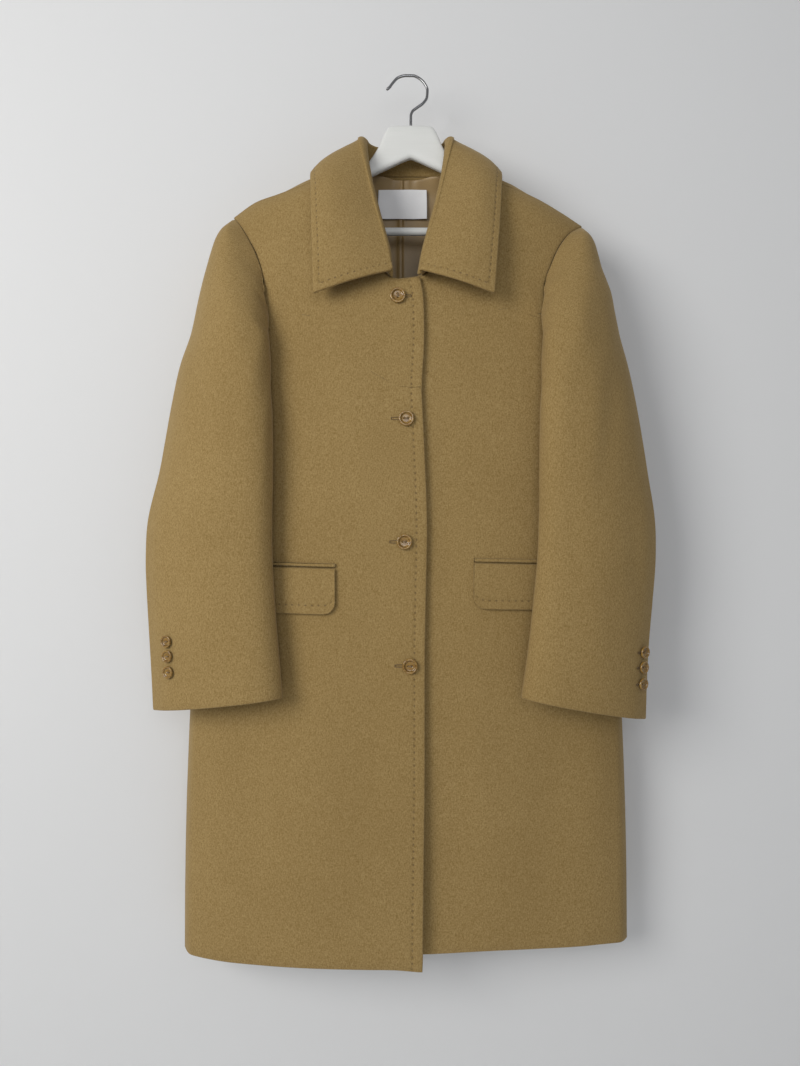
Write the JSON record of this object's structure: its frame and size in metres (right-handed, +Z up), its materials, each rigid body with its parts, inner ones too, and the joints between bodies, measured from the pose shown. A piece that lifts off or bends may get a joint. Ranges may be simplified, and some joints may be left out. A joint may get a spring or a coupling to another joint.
{
  "type": "wool overcoat on hanger",
  "caption": "Single-breasted wool overcoat with a wide fold-down collar, flap pockets and buttoned cuffs, hanging buttoned on a flat wooden hanger.",
  "frame": {"origin": "inner top of the hanger's hook, where it rests on what holds it", "axes": "+Z up, the coat's front faces -Y, the wearer's right side is towards -X"},
  "size_m": [0.6348, 0.1429, 1.1146],
  "materials": {
    "wool": "felted wool melton, dull nap",
    "lining_satin": "satin lining",
    "label_satin": "white satin, blank",
    "button_horn": "polished amber horn",
    "white_paint": "wood painted white, satin",
    "hook_steel": "bright steel wire"
  },
  "bodies": {
    "root": {"front_right": "wool", "front_left": "wool", "back": "wool", "collar": "wool", "sleeve_right_top": "wool", "sleeve_right_under": "wool", "sleeve_left_top": "wool", "sleeve_left_under": "wool", "pocket_welt_right": "wool", "flap_right": "wool", "pocket_welt_left": "wool", "flap_left": "wool", "lining_back": "lining_satin", "label": "label_satin", "front_button_1": "button_horn", "front_button_2": "button_horn", "front_button_3": "button_horn", "front_button_4": "button_horn", "cuff_button_right_1": "button_horn", "cuff_button_right_2": "button_horn", "cuff_button_right_3": "button_horn", "cuff_button_left_1": "button_horn", "cuff_button_left_2": "button_horn", "cuff_button_left_3": "button_horn", "hanger_body": "white_paint", "hanger_bar": "white_paint", "hook": "hook_steel"}
  },
  "joints": []
}
